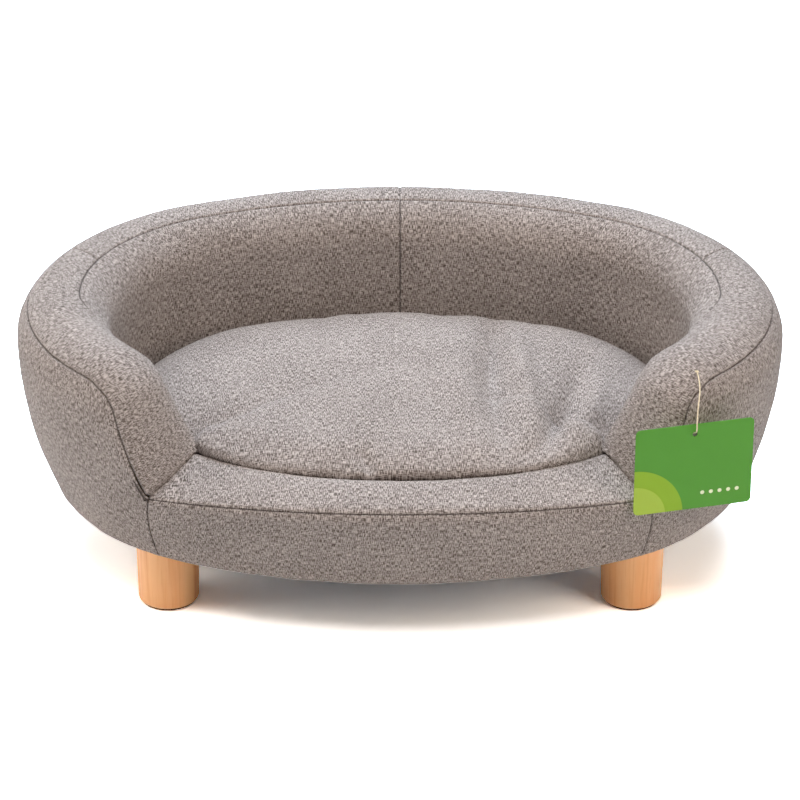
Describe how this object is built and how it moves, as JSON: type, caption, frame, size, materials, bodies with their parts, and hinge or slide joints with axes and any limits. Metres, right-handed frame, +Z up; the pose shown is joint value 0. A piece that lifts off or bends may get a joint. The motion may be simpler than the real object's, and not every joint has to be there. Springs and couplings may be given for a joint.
{
  "type": "pet bed",
  "caption": "Oval upholstered pet bed with a padded wall round the back and arms, a low front, a loose seat cushion, round wooden legs and a card tag on a string.",
  "frame": {"origin": "centre of the footprint on the floor, under the middle of the oval", "axes": "+X to the right of a person in front of the bed, +Y from the low front to the back, +Z up"},
  "size_m": [0.79, 0.5761, 0.283],
  "materials": {
    "wall_cloth": "taupe-grey melange woven upholstery cloth",
    "cushion_cloth": "taupe-grey melange woven upholstery cloth",
    "lining_cloth": "dark spunbonded lining",
    "foam": "open-cell polyurethane foam",
    "filling": "polyester fibre filling",
    "felt": "pressed felt",
    "frame_board": "raw plywood and hardboard",
    "leg_wood": "turned pine with clear matt lacquer",
    "steel": "zinc-plated steel",
    "tag_card": "printed card with a satin coat",
    "thread": "cream cotton thread"
  },
  "bodies": {
    "bed": {"cover_outer_left": "wall_cloth", "cover_outer_right": "wall_cloth", "cover_inner_left": "wall_cloth", "cover_inner_right": "wall_cloth", "cover_arm_left": "wall_cloth", "cover_arm_right": "wall_cloth", "cover_rim_back_left": "wall_cloth", "cover_rim_back_right": "wall_cloth", "cover_front_face": "wall_cloth", "cover_front_top": "wall_cloth", "rim_foam": "foam", "outer_foam": "foam", "inner_foam": "foam", "arm_foam_left": "foam", "arm_foam_right": "foam", "front_foam": "foam", "base_board": "frame_board", "wall_ribs": "frame_board", "top_rail": "frame_board", "front_rail": "frame_board", "inner_panel": "frame_board", "outer_panel": "frame_board", "leg_front_left": "leg_wood", "leg_front_right": "leg_wood", "leg_back_left": "leg_wood", "leg_back_right": "leg_wood", "leg_bolts": "steel", "leg_nuts": "steel", "frame_screws": "steel", "staples": "steel", "seat_lining": "lining_cloth", "base_lining": "lining_cloth", "leg_pads": "felt", "tag_stitch": "thread"},
    "cushion": {"cushion_cover_top": "cushion_cloth", "cushion_cover_base": "cushion_cloth", "cushion_fill": "filling"},
    "string": {"tag_string": "thread", "tag_knot": "thread"},
    "tag": {"hang_tag": "tag_card"}
  },
  "joints": [
    {"name": "cushion_lift", "type": "slide", "parent": "bed", "child": "cushion", "axis": [0, 0, 1], "range_m": [0, 0.25]},
    {"name": "string_swing", "type": "hinge", "parent": "bed", "child": "string", "pos_m": [0.29207, -0.18165, 0.27401], "axis": [-0.9971, 0.0756, 0], "range_deg": [0, 60]},
    {"name": "tag_turn", "type": "hinge", "parent": "string", "child": "tag", "pos_m": [0.2889, -0.2235, 0.2276], "axis": [0.2504, -0.9681, 0], "range_deg": [-30, 30]}
  ]
}
